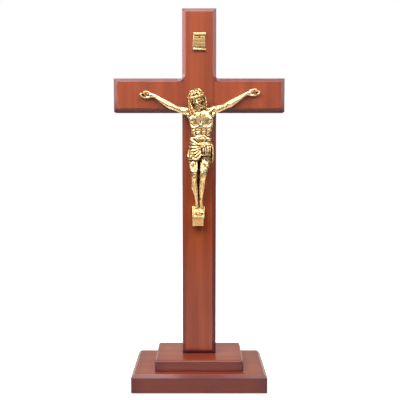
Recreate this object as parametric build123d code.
from build123d import *
import os

# A standing table crucifix: a bevelled wooden cross on a stepped wooden base,
# with a cast metal figure, its footrest and a cast scroll nailed to the front.
# Millimetres. X runs to the right as seen from the front, Y to the back, Z up.
# The origin is on the table, under the middle of the base.
# Left and right are those of someone who looks at the front.

# Stack of the stand, from the table up
PAD_THICKNESS = 1.0
LOWER_PLINTH_THICKNESS = 14.6
UPPER_PLINTH_THICKNESS = 9.0
UPRIGHT_LENGTH = 280.4

# Cross
UPRIGHT_WIDTH = 27.3
CROSS_THICKNESS = 14.0
ARM_SPAN = 137.2
ARM_HEIGHT = 26.6
ARM_BELOW_TOP = 55.1
BEVEL_WIDTH = 2.8
BEVEL_DEPTH = 1.6
BEVEL_CORNER_RADIUS = 4.5
BACK_EDGE_BREAK = 0.8
INNER_CORNER_RADIUS = 1.0
HOUSING_DEPTH = 1.5
HOUSING_SHOULDER = 1.0

# Plinths
LOWER_PLINTH_WIDTH = 107.8
LOWER_PLINTH_DEPTH = 60.4
LOWER_PLINTH_CHAMFER = 2.5
UPPER_PLINTH_WIDTH = 71.0
UPPER_PLINTH_DEPTH = 46.0
UPPER_PLINTH_ROUND = 1.8
LOWER_PLINTH_CORNER_ROUND = 1.2

# Felt pads under the lower plinth
PAD_RADIUS = 6.0
PAD_INSET = 11.0

# Dowels that run through the upright into both arms
DOWEL_RADIUS = 3.0
DOWEL_BITE = 16.0
DOWEL_SPACING = 13.0
DOWEL_END_CHAMFER = 0.6

# Wood screws, driven up from under the base
SCREW_HEAD_SINK = 0.4
UPRIGHT_SCREW_RADIUS = 2.0
UPRIGHT_SCREW_HEAD_RADIUS = 4.0
UPRIGHT_SCREW_BITE = 26.0
UPRIGHT_SCREW_SPACING = 13.0
PLINTH_SCREW_RADIUS = 1.75
PLINTH_SCREW_HEAD_RADIUS = 3.5
PLINTH_SCREW_BITE = 5.5
PLINTH_SCREW_SPACING = 52.0
THREAD_PITCH = 1.6
THREAD_DEPTH = 0.4
SCREW_TIP_LENGTH = 3.0
RECESS_WIDTH = 0.8
RECESS_DEPTH = 1.0

# Play between a fastener and its hole
HOLE_CLEARANCE = 0.05

# Nails that hold the figure, and pins that hold the scroll
NAIL_RADIUS = 0.6
NAIL_HEAD_RADIUS = 1.0
NAIL_HEAD_HEIGHT = 0.6
NAIL_BITE = 9.0
NAIL_TIP_LENGTH = 1.5
NAIL_SINK = 0.3
PIN_RADIUS = 0.4
PIN_HEAD_RADIUS = 0.7
PIN_HEAD_HEIGHT = 0.4
PIN_BITE = 6.0
PIN_TIP_LENGTH = 1.0

# Scroll at the top of the cross
SCROLL_WIDTH = 10.0
SCROLL_HEIGHT = 14.1
SCROLL_THICKNESS = 1.0
SCROLL_BELOW_TOP = 26.3
TOP_ROLL_RADIUS = 1.3
TOP_ROLL_LENGTH = 10.6
BOTTOM_ROLL_RADIUS = 0.9
SCROLL_PIN_ROOM = 0.3

# Footrest under the feet, measured from the front of the wood and from the arms' middle
FOOTREST_WIDTH = 9.4
FOOTREST_OFFSET = -0.6
FOOTREST_TOP = -89.2
FOOTREST_TOP_LEDGE = 1.4
FOOTREST_FRONT_TOP = -96.9
FOOTREST_PROJECTION = 7.2
FOOTREST_LIP = 1.5
FOOTREST_LIP_STEP = 0.5
FOOTREST_BOTTOM = -104.8
FOOTREST_BOTTOM_PROJECTION = 5.6

# Head of the figure
HEAD_CENTRE = (-1.9, 9.4, -4.6)
HEAD_RADIUS = 5.2
HEAD_HALF_LENGTH = 7.4
HEAD_LEAN = 14.0
HEAD_NOD = 16.0
HAIR_RADIUS = 6.1
HAIR_HALF_LENGTH = 8.3
HAIR_BACK = 1.8
BEARD_RADIUS = 2.6
BEARD_HALF_LENGTH = 3.6
BEARD_DROP = 5.8
BEARD_FORWARD = 2.2
CROWN_RADIUS = 5.8
CROWN_WIRE_RADIUS = 0.7
CROWN_RISE = 2.6

# Trunk and cloth: a place, then the half width and half depth of the oval there.
# A place is (right of the middle, forward of the wood, above the arms' middle).
TORSO_OVALS = [
    ((0.4, 7.2, -11.6), 4.2, 3.0),
    ((1.1, 7.0, -14.0), 8.6, 4.2),
    ((1.4, 7.4, -17.6), 10.2, 5.2),
    ((1.7, 7.6, -24.4), 9.2, 5.5),
    ((1.7, 7.0, -28.6), 8.4, 4.9),
    ((1.2, 6.6, -33.2), 7.6, 4.5),
    ((1.1, 6.6, -37.0), 8.2, 4.7),
    ((1.1, 6.6, -41.0), 8.6, 4.9),
]
LOINCLOTH_OVALS = [
    ((1.1, 6.7, -37.2), 8.5, 5.2),
    ((1.3, 6.8, -41.0), 9.4, 5.9),
    ((1.2, 6.9, -46.0), 9.9, 6.2),
    ((1.1, 6.9, -51.6), 10.0, 5.9),
]
CLOTH_END_OVALS = [
    ((8.6, 7.6, -38.5), 1.4, 2.0),
    ((9.8, 7.8, -44.0), 1.5, 2.4),
    ((10.1, 7.8, -54.0), 1.1, 2.2),
]
NECK_OVALS = [
    ((-1.4, 8.8, -4.4), 2.9, 2.9),
    ((0.2, 7.8, -15.0), 3.1, 3.1),
]
LEFT_HAIR_OVALS = [
    ((-5.6, 8.6, -2.0), 2.2, 2.2),
    ((-6.4, 9.0, -9.0), 2.0, 2.2),
    ((-5.4, 10.4, -17.4), 1.3, 1.3),
]
RIGHT_HAIR_OVALS = [
    ((2.4, 8.4, -2.4), 1.8, 2.2),
    ((3.8, 8.8, -7.6), 1.5, 2.0),
    ((5.0, 10.0, -12.4), 1.1, 1.3),
]

# Arms with their hands, from inside the shoulder to the fingertips
LEFT_ARM_OVALS = [
    ((-4.0, 7.4, -16.4), 3.2, 3.4),
    ((-9.6, 6.4, -13.8), 3.3, 3.5),
    ((-16.6, 5.2, -11.7), 2.2, 2.4),
    ((-23.2, 4.4, -8.8), 2.7, 2.7),
    ((-28.0, 3.7, -5.9), 2.4, 2.5),
    ((-36.2, 2.1, -0.8), 1.8, 1.7),
    ((-41.3, 1.1, -0.3), 2.9, 1.4),
    ((-47.2, 1.2, -0.2), 1.5, 0.7),
]
RIGHT_ARM_OVALS = [
    ((6.2, 7.4, -15.8), 3.2, 3.4),
    ((11.6, 6.4, -12.8), 3.4, 3.5),
    ((19.0, 5.2, -10.1), 2.3, 2.4),
    ((24.8, 4.4, -7.3), 2.8, 2.7),
    ((29.0, 3.7, -4.7), 2.5, 2.5),
    ((37.6, 2.1, 0.6), 1.8, 1.7),
    ((42.6, 1.1, 1.4), 2.9, 1.4),
    ((48.8, 1.2, 1.4), 1.5, 0.7),
]
THUMB_LENGTH = 4.4
THUMB_RADIUS = 0.8
THUMB_ROOT_BACK = 2.2
THUMB_SPREAD = 14.0

# Legs, from inside the cloth to the ankles
LEFT_LEG_OVALS = [
    ((-4.2, 6.8, -46.0), 4.4, 4.6),
    ((-4.9, 7.4, -53.0), 3.2, 3.7),
    ((-4.4, 8.4, -60.0), 2.9, 3.0),
    ((-4.0, 8.8, -65.0), 2.3, 2.7),
    ((-3.6, 7.4, -72.0), 2.5, 2.8),
    ((-2.4, 5.6, -80.0), 1.7, 1.9),
    ((-1.8, 4.4, -86.0), 1.4, 1.6),
    ((-2.0, 4.0, -91.0), 1.2, 1.3),
]
RIGHT_LEG_OVALS = [
    ((6.2, 6.8, -46.0), 4.2, 4.6),
    ((5.2, 8.4, -53.4), 3.3, 3.8),
    ((3.5, 9.8, -59.8), 2.9, 3.2),
    ((2.8, 9.7, -64.6), 2.3, 2.7),
    ((2.6, 8.0, -71.8), 2.5, 2.8),
    ((2.1, 5.8, -80.0), 1.5, 1.8),
    ((1.9, 4.4, -86.0), 1.3, 1.6),
    ((2.0, 4.0, -91.0), 1.2, 1.3),
]

# Feet, side by side on the slope of the footrest
LEFT_FOOT_X = -2.1
RIGHT_FOOT_X = 2.0
HEEL_HALF_WIDTH = 1.5
BALL_HALF_WIDTH = 1.8
TOE_HALF_WIDTH = 1.6
HEEL_HALF_HEIGHT = 1.7
BALL_HALF_HEIGHT = 1.3
TOE_HALF_HEIGHT = 0.8
SOLE_FLAT = 0.3
HEEL_BACK = 1.0
BALL_ALONG = 6.6
FOOT_NAIL_ALONG = 4.4

# Levels and planes worked out from the sizes above
LOWER_PLINTH_BOTTOM = PAD_THICKNESS
UPPER_PLINTH_BOTTOM = LOWER_PLINTH_BOTTOM + LOWER_PLINTH_THICKNESS
UPRIGHT_BOTTOM = UPPER_PLINTH_BOTTOM + UPPER_PLINTH_THICKNESS
UPRIGHT_TOP = UPRIGHT_BOTTOM + UPRIGHT_LENGTH
ARM_TOP = UPRIGHT_TOP - ARM_BELOW_TOP
ARM_MIDDLE = ARM_TOP - ARM_HEIGHT / 2
FRONT = -CROSS_THICKNESS / 2


def on_cross(place):
    """The point at a place: right of the middle, forward of the wood, above the arms' middle."""
    right, forward, rise = place
    return Vector(right, FRONT - forward, ARM_MIDDLE + rise)


# Cross


def cross_board(corner_radius):
    """A plain cross with its four inner corners rounded."""
    middle = (UPRIGHT_BOTTOM + UPRIGHT_TOP) / 2
    outline = Plane.XZ * (
        Pos(0, middle) * Rectangle(UPRIGHT_WIDTH, UPRIGHT_LENGTH)
        + Pos(0, ARM_MIDDLE) * Rectangle(ARM_SPAN, ARM_HEIGHT)
    )
    reach = ARM_HEIGHT / 2 + corner_radius
    corners = outline.vertices().filter_by(lambda v: abs(v.X) < ARM_SPAN / 2 - corner_radius)
    inner = corners.filter_by(lambda v: abs(v.Z - ARM_MIDDLE) < reach)
    return extrude(fillet(inner, corner_radius), CROSS_THICKNESS / 2, both=True)


def cross_blank():
    """The glued-up cross before it is parted, with a bevel that sweeps wide round the inner corners."""
    board = cross_board(INNER_CORNER_RADIUS)
    board = chamfer(board.faces().sort_by(Axis.Y)[-1].edges(), BACK_EDGE_BREAK)
    swept = cross_board(BEVEL_CORNER_RADIUS)
    front = swept.faces().sort_by(Axis.Y)[0]
    return board & chamfer(front.edges(), BEVEL_WIDTH, BEVEL_DEPTH, reference=front)


def arm_zone(side):
    """The space that one arm fills, with the end that is housed in the upright's side."""
    inner = UPRIGHT_WIDTH / 2 - HOUSING_DEPTH
    length = ARM_SPAN / 2 - inner
    height = ARM_HEIGHT + 2 * (INNER_CORNER_RADIUS + HOUSING_SHOULDER)
    return Pos(side * (inner + length / 2), 0, ARM_MIDDLE) * Box(length, CROSS_THICKNESS, height)


def dowel_rods(radius, bite):
    """Two rods across the upright, one above and one below the arms' middle."""
    length = UPRIGHT_WIDTH - 2 * HOUSING_DEPTH + 2 * bite
    rod = Rotation(0, 90, 0) * Cylinder(radius, length)
    return [Pos(0, 0, ARM_MIDDLE + side * DOWEL_SPACING / 2) * rod for side in (-1, 1)]


def arm_dowels():
    rods = dowel_rods(DOWEL_RADIUS, DOWEL_BITE)
    return [chamfer(rod.edges().filter_by(GeomType.CIRCLE), DOWEL_END_CHAMFER) for rod in rods]


def dowel_holes():
    return dowel_rods(DOWEL_RADIUS + HOLE_CLEARANCE, DOWEL_BITE + HOLE_CLEARANCE)


# Fasteners, each turned about Z, with holes turned from the same sizes


def turned(points):
    """A solid turned about Z from its half outline, given as (radius, height) from end to end."""
    return revolve(make_face(Polyline([(r, 0, z) for r, z in points], close=True)), Axis.Z)


def wood_screw(radius, head_radius, bite, grip):
    """A countersunk screw, head down at Z 0, with a thread of rings and a cross recess."""
    length = grip + bite - SCREW_HEAD_SINK
    head_height = head_radius - radius
    root = radius - THREAD_DEPTH
    thread_end = length - SCREW_TIP_LENGTH
    rings = int((thread_end - head_height) / 2 / THREAD_PITCH)
    outline = [(0, 0), (head_radius, 0), (radius, head_height)]
    outline.append((radius, thread_end - rings * THREAD_PITCH))
    for ring in range(rings):
        start = thread_end - (rings - ring) * THREAD_PITCH
        outline.append((root, start + THREAD_PITCH / 3))
        outline.append((root, start + THREAD_PITCH * 2 / 3))
        outline.append((radius, start + THREAD_PITCH))
    slot = Box(head_radius, RECESS_WIDTH, 2 * RECESS_DEPTH)
    return turned(outline + [(0, length)]) - [slot, Rotation(0, 0, 90) * slot]


def screw_hole(radius, head_radius, bite, grip):
    """The countersunk hole for that screw, from the wood's underside up."""
    hole = radius + HOLE_CLEARANCE
    head = head_radius + HOLE_CLEARANCE
    end = grip + bite - SCREW_HEAD_SINK + HOLE_CLEARANCE
    outline = [(0, -SCREW_HEAD_SINK), (head, -SCREW_HEAD_SINK), (head, 0)]
    return turned(outline + [(hole, head_radius - radius), (hole, end), (0, end)])


def nail(radius, head_radius, head_height, length, tip):
    """A round-headed nail, with the underside of its head at Z 0 and its point below."""
    dome_radius = (head_radius**2 + head_height**2) / (2 * head_height)
    dome = Pos(0, 0, head_height - dome_radius) * Sphere(dome_radius)
    head = dome & Pos(0, 0, dome_radius) * Box(4 * dome_radius, 4 * dome_radius, 2 * dome_radius)
    return head + turned([(0, 0), (radius, 0), (radius, tip - length), (0, -length)])


def nail_hole(radius, head_radius, length, room):
    """The hole for that nail, with room in front of its head."""
    hole = radius + HOLE_CLEARANCE
    head = head_radius + HOLE_CLEARANCE
    end = -length - HOLE_CLEARANCE
    return turned([(0, end), (hole, end), (hole, 0), (head, 0), (head, room), (0, room)])


def into_wood(seat, shape):
    """Turns a nail or its hole so that it runs into the front of the cross at a seat."""
    return Pos(*seat) * Rotation(90, 0, 0) * shape


def figure_nails(seats):
    nails = []
    for seat in seats:
        length = FRONT - seat.Y + NAIL_BITE
        one = nail(NAIL_RADIUS, NAIL_HEAD_RADIUS, NAIL_HEAD_HEIGHT, length, NAIL_TIP_LENGTH)
        nails.append(into_wood(seat, one))
    return nails


def figure_nail_holes(seats):
    room = 2 * NAIL_HEAD_RADIUS
    sizes = [(seat, FRONT - seat.Y + NAIL_BITE) for seat in seats]
    return [into_wood(s, nail_hole(NAIL_RADIUS, NAIL_HEAD_RADIUS, depth, room)) for s, depth in sizes]


# Base


def top_edges(block):
    return block.faces().sort_by(Axis.Z)[-1].edges()


def lower_plinth():
    """A block with rounded upright corners, chamfered all round its top."""
    block = Box(LOWER_PLINTH_WIDTH, LOWER_PLINTH_DEPTH, LOWER_PLINTH_THICKNESS)
    block = Pos(0, 0, LOWER_PLINTH_BOTTOM + LOWER_PLINTH_THICKNESS / 2) * block
    rounded = fillet(block.edges().filter_by(Axis.Z), LOWER_PLINTH_CORNER_ROUND)
    return rounded & chamfer(top_edges(block), LOWER_PLINTH_CHAMFER)


def upper_plinth():
    """A smaller block with its upright corners and top edge rounded."""
    block = Box(UPPER_PLINTH_WIDTH, UPPER_PLINTH_DEPTH, UPPER_PLINTH_THICKNESS)
    block = Pos(0, 0, UPPER_PLINTH_BOTTOM + UPPER_PLINTH_THICKNESS / 2) * block
    return fillet(block.edges().filter_by(Axis.Z) + top_edges(block), UPPER_PLINTH_ROUND)


def under_base(one, spacing):
    """Two screws or holes, side by side under the middle of the base."""
    height = LOWER_PLINTH_BOTTOM + SCREW_HEAD_SINK
    return [Pos(side * spacing / 2, 0, height) * one for side in (-1, 1)]


def upright_screws(make):
    grip = LOWER_PLINTH_THICKNESS + UPPER_PLINTH_THICKNESS
    one = make(UPRIGHT_SCREW_RADIUS, UPRIGHT_SCREW_HEAD_RADIUS, UPRIGHT_SCREW_BITE, grip)
    return under_base(one, UPRIGHT_SCREW_SPACING)


def plinth_screws(make):
    grip = LOWER_PLINTH_THICKNESS
    one = make(PLINTH_SCREW_RADIUS, PLINTH_SCREW_HEAD_RADIUS, PLINTH_SCREW_BITE, grip)
    return under_base(one, PLINTH_SCREW_SPACING)


def felt_pads():
    x = LOWER_PLINTH_WIDTH / 2 - PAD_INSET
    y = LOWER_PLINTH_DEPTH / 2 - PAD_INSET
    pad = Pos(0, 0, PAD_THICKNESS / 2) * Cylinder(PAD_RADIUS, PAD_THICKNESS)
    return [Pos(sx * x, sy * y, 0) * pad for sx in (-1, 1) for sy in (-1, 1)]


# Scroll


def scroll_ends():
    """Heights of the scroll's top and bottom."""
    middle = UPRIGHT_TOP - SCROLL_BELOW_TOP
    return middle + SCROLL_HEIGHT / 2, middle - SCROLL_HEIGHT / 2


def scroll_roll(radius, length, height):
    return Pos(0, FRONT - radius, height) * Rotation(0, 90, 0) * Cylinder(radius, length)


def scroll():
    """A small sheet on the wood, rolled forward at its top and bottom edges."""
    top = scroll_ends()[0] - TOP_ROLL_RADIUS
    bottom = scroll_ends()[1] + BOTTOM_ROLL_RADIUS
    sheet = Box(SCROLL_WIDTH, SCROLL_THICKNESS, top - bottom)
    sheet = Pos(0, FRONT - SCROLL_THICKNESS / 2, (top + bottom) / 2) * sheet
    sheet += scroll_roll(TOP_ROLL_RADIUS, TOP_ROLL_LENGTH, top)
    return sheet + scroll_roll(BOTTOM_ROLL_RADIUS, SCROLL_WIDTH, bottom)


def pin_seats():
    """Where the undersides of the two pin heads lie, on the sheet beside its rolls."""
    room = PIN_HEAD_RADIUS + SCROLL_PIN_ROOM
    top = scroll_ends()[0] - 2 * TOP_ROLL_RADIUS - room
    bottom = scroll_ends()[1] + 2 * BOTTOM_ROLL_RADIUS + room
    return [Vector(0, FRONT - SCROLL_THICKNESS, height) for height in (top, bottom)]


def scroll_pins():
    length = SCROLL_THICKNESS + PIN_BITE
    pin = nail(PIN_RADIUS, PIN_HEAD_RADIUS, PIN_HEAD_HEIGHT, length, PIN_TIP_LENGTH)
    return [into_wood(seat, pin) for seat in pin_seats()]


def scroll_pin_holes():
    length = SCROLL_THICKNESS + PIN_BITE
    hole = nail_hole(PIN_RADIUS, PIN_HEAD_RADIUS, length, PIN_HEAD_HEIGHT)
    return [into_wood(seat, hole) for seat in pin_seats()]


# Footrest


def footrest():
    """A wedge on the upright: a sloping plate with a lip, over a block that tapers down."""
    lip = FOOTREST_FRONT_TOP - FOOTREST_LIP
    side = [
        (0, FOOTREST_TOP),
        (FOOTREST_TOP_LEDGE, FOOTREST_TOP),
        (FOOTREST_PROJECTION, FOOTREST_FRONT_TOP),
        (FOOTREST_PROJECTION, lip),
        (FOOTREST_PROJECTION - FOOTREST_LIP_STEP, lip),
        (FOOTREST_BOTTOM_PROJECTION, FOOTREST_BOTTOM),
        (0, FOOTREST_BOTTOM),
    ]
    corners = [on_cross((FOOTREST_OFFSET, forward, rise)) for forward, rise in side]
    face = make_face(Polyline(corners, close=True))
    return extrude(face, FOOTREST_WIDTH / 2, dir=(1, 0, 0), both=True)


def on_slope(x, along, lift):
    """A point over the footrest's slope, with the slope's run and its outward normal."""
    back = on_cross((x, FOOTREST_TOP_LEDGE, FOOTREST_TOP))
    front = on_cross((x, FOOTREST_PROJECTION, FOOTREST_FRONT_TOP))
    run = (front - back).normalized()
    normal = Vector(0, run.Z, -run.Y)
    return back + run * along + normal * lift, run, normal


# Figure, cast in one piece


def oval(point, along, half_width, half_depth, across):
    """An oval square to a direction, with its width laid along another."""
    along = Vector(*along).normalized()
    across = Vector(*across)
    across = across - along * across.dot(along)
    return Plane(origin=point, x_dir=across, z_dir=along) * Ellipse(half_width, half_depth)


def level_form(ovals):
    """A form lofted through level ovals, from the top down."""
    down = (0, 0, -1)
    return loft([oval(on_cross(p), down, width, depth, (1, 0, 0)) for p, width, depth in ovals])


def limb(ovals, across):
    """A limb lofted through ovals that lie square to its run."""
    points = [on_cross(place) for place, _, _ in ovals]
    faces = []
    for i, (_, half_width, half_depth) in enumerate(ovals):
        along = points[min(i + 1, len(points) - 1)] - points[max(i - 1, 0)]
        faces.append(oval(points[i], along, half_width, half_depth, across))
    return loft(faces)


def egg(radius, half_length):
    """An egg turned about Z."""
    half = Ellipse(radius, half_length) & Pos(radius, 0) * Rectangle(2 * radius, 4 * half_length)
    return revolve(Rotation(90, 0, 0) * half, Axis.Z)


def head():
    """Head with hair, beard and twisted crown, which leans to the left and nods."""
    face = egg(HEAD_RADIUS, HEAD_HALF_LENGTH)
    hair = Pos(0, HAIR_BACK, 0) * egg(HAIR_RADIUS, HAIR_HALF_LENGTH)
    beard = Pos(0, -BEARD_FORWARD, -BEARD_DROP) * egg(BEARD_RADIUS, BEARD_HALF_LENGTH)
    crown = Pos(0, HAIR_BACK / 2, CROWN_RISE) * Torus(CROWN_RADIUS, CROWN_WIRE_RADIUS)
    place = Pos(*on_cross(HEAD_CENTRE)) * Rotation(HEAD_NOD, -HEAD_LEAN, 0)
    return [place * piece for piece in (face, hair, beard, crown)]


def thumb(arm):
    """A thumb that leaves the upper edge of the palm, the last oval but one, and points outward."""
    palm, half_width, _ = arm[-2]
    side = 1 if palm[0] > 0 else -1
    root = on_cross(palm) + Vector(-side * THUMB_ROOT_BACK, 0, half_width - THUMB_RADIUS)
    run = Vector(side, 0, 0).rotate(Axis.Y, -side * THUMB_SPREAD)
    ends = (root, root + run * THUMB_LENGTH)
    return loft([oval(p, run, THUMB_RADIUS, THUMB_RADIUS, (0, 1, 0)) for p in ends])


def foot(x):
    """A foot along the footrest's slope, from behind the heel to the toes."""
    toe_along = (on_slope(x, 0, 0)[0] - on_cross((x, FOOTREST_PROJECTION, FOOTREST_FRONT_TOP))).length
    stations = [
        (-HEEL_BACK, HEEL_HALF_WIDTH, HEEL_HALF_HEIGHT),
        (BALL_ALONG, BALL_HALF_WIDTH, BALL_HALF_HEIGHT),
        (toe_along, TOE_HALF_WIDTH, TOE_HALF_HEIGHT),
    ]
    faces = []
    for along, half_width, half_height in stations:
        point, run, _ = on_slope(x, along, half_height - SOLE_FLAT)
        faces.append(oval(point, run, half_width, half_height, (1, 0, 0)))
    return loft(faces)


def figure():
    """Trunk, cloth, head, limbs and feet, fused."""
    body = level_form(TORSO_OVALS)
    pieces = [level_form(LOINCLOTH_OVALS), level_form(CLOTH_END_OVALS), level_form(NECK_OVALS)]
    pieces += head()
    pieces += [level_form(LEFT_HAIR_OVALS), level_form(RIGHT_HAIR_OVALS)]
    for arm in (LEFT_ARM_OVALS, RIGHT_ARM_OVALS):
        pieces += [limb(arm, (0, 0, 1)), thumb(arm)]
    pieces += [limb(leg, (1, 0, 0)) for leg in (LEFT_LEG_OVALS, RIGHT_LEG_OVALS)]
    pieces += [foot(LEFT_FOOT_X), foot(RIGHT_FOOT_X)]
    for piece in pieces:
        body = body + piece
    return body


def hand_nail_seats():
    """Where the undersides of the nail heads lie in the palms, the arms' last ovals but one."""
    seats = []
    for arm in (LEFT_ARM_OVALS, RIGHT_ARM_OVALS):
        (right, forward, rise), _, half_thickness = arm[-2]
        seats.append(on_cross((right, forward + half_thickness - NAIL_SINK, rise)))
    return seats


def foot_nail_seats():
    """Where the undersides of the nail heads lie on the insteps."""
    seats = []
    for x in (LEFT_FOOT_X, RIGHT_FOOT_X):
        point, _, normal = on_slope(x, FOOT_NAIL_ALONG, 2 * BALL_HALF_HEIGHT)
        seats.append(point + Vector(0, NAIL_SINK / -normal.Y, 0))
    return seats


# Assembly: every piece gets the holes of what runs through it


def cut(piece, *groups):
    """Takes each tool of each group out of a piece in turn."""
    for tool in [tool for group in groups for tool in group]:
        piece = piece - tool
    return piece


blank = cross_blank()
zones = [arm_zone(-1), arm_zone(1)]
wood = Pos(0, 0, UPRIGHT_TOP / 2) * Box(ARM_SPAN, CROSS_THICKNESS, UPRIGHT_TOP)
rest = footrest()
base_holes = upright_screws(screw_hole) + plinth_screws(screw_hole)
hand_seats = hand_nail_seats()
foot_seats = foot_nail_seats()
hand_holes = figure_nail_holes(hand_seats)
foot_holes = figure_nail_holes(foot_seats)

nodes = {
    "upright": [cut(blank, zones, dowel_holes(), base_holes, foot_holes, scroll_pin_holes())],
    "left_arm": [cut(blank & zones[0], dowel_holes(), hand_holes)],
    "right_arm": [cut(blank & zones[1], dowel_holes(), hand_holes)],
    "arm_dowels": arm_dowels(),
    "upper_plinth": [cut(upper_plinth(), base_holes)],
    "lower_plinth": [cut(lower_plinth(), base_holes)],
    "upright_screws": upright_screws(wood_screw),
    "plinth_screws": plinth_screws(wood_screw),
    "felt_pads": felt_pads(),
    "corpus": [cut(figure(), [wood, rest], hand_holes, foot_holes)],
    "footrest": [cut(rest, foot_holes)],
    "hand_nails": figure_nails(hand_seats),
    "foot_nails": figure_nails(foot_seats),
    "scroll": [cut(scroll(), scroll_pin_holes())],
    "scroll_pins": scroll_pins(),
}

os.makedirs("parts", exist_ok=True)
for name, pieces in nodes.items():
    solids = [solid for piece in pieces for solid in piece.solids()]
    export_step(Compound(solids), f"parts/{name}.step")
